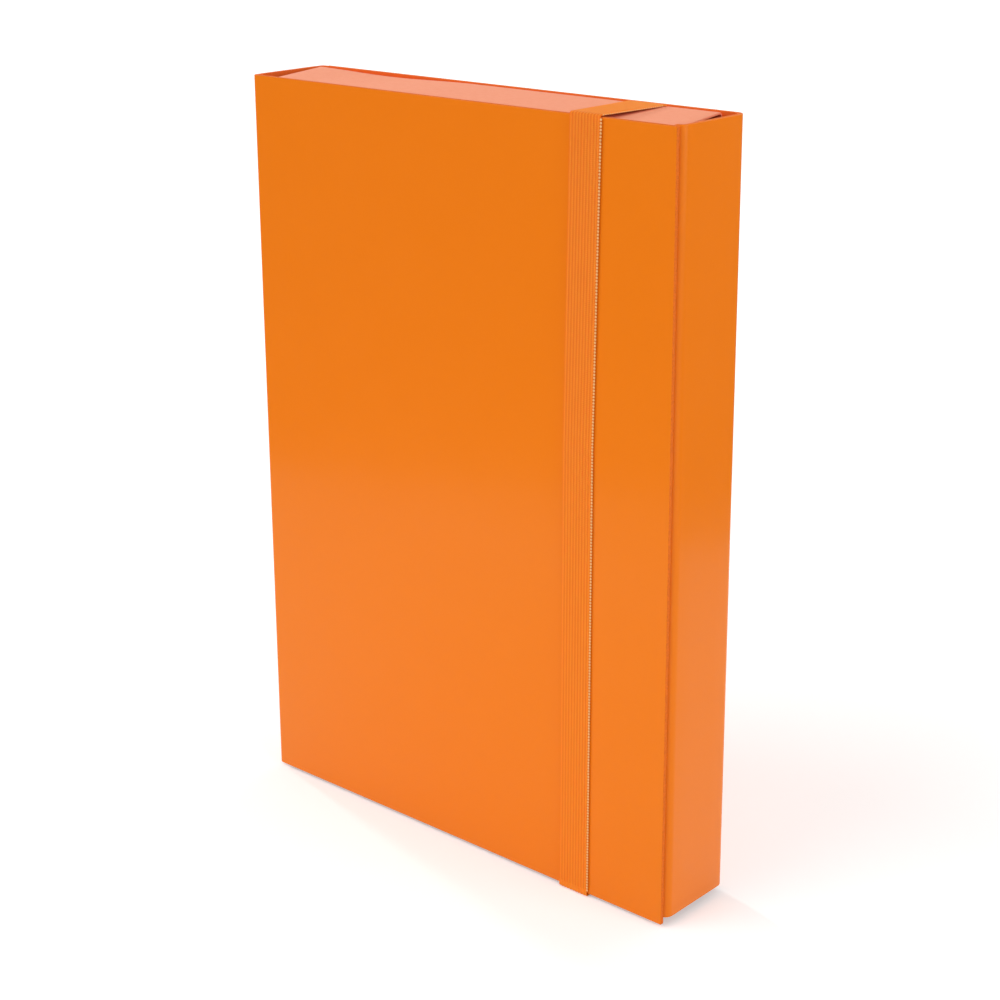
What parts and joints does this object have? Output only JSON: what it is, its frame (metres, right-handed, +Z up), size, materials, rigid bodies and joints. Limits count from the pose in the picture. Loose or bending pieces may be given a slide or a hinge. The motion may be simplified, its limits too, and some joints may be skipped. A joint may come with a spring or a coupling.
{
  "type": "box file",
  "caption": "Upright box file for loose sheets, with a hinged cover and spine, folded inner flaps and a flat elastic closure.",
  "frame": {"origin": "on the floor, under the middle of the closed file", "axes": "+Z up, the cover faces -Y, the spine is at -X and the opening side at +X"},
  "size_m": [0.2426, 0.0458, 0.3478],
  "materials": {
    "laminated_board": "gloss film over orange paper",
    "flap_card": "matte uncoated card",
    "woven_elastic": "ribbed weave with a pale picot edge"
  },
  "bodies": {
    "tray": {"back_case": "laminated_board", "top_flap": "flap_card", "bottom_flap": "flap_card", "elastic_band": "woven_elastic"},
    "spine": {"spine": "laminated_board"},
    "cover": {"front_cover": "laminated_board"}
  },
  "joints": [
    {"name": "spine_hinge", "type": "hinge", "parent": "tray", "child": "spine", "pos_m": [-0.12125, 0.0229, 0.174], "axis": [0, 0, -1], "range_deg": [0, 90], "deforming": ["elastic_band"]},
    {"name": "cover_hinge", "type": "hinge", "parent": "spine", "child": "cover", "pos_m": [-0.12125, -0.0216, 0.174], "axis": [0, 0, -1], "range_deg": [0, 180], "deforming": ["elastic_band"]}
  ]
}
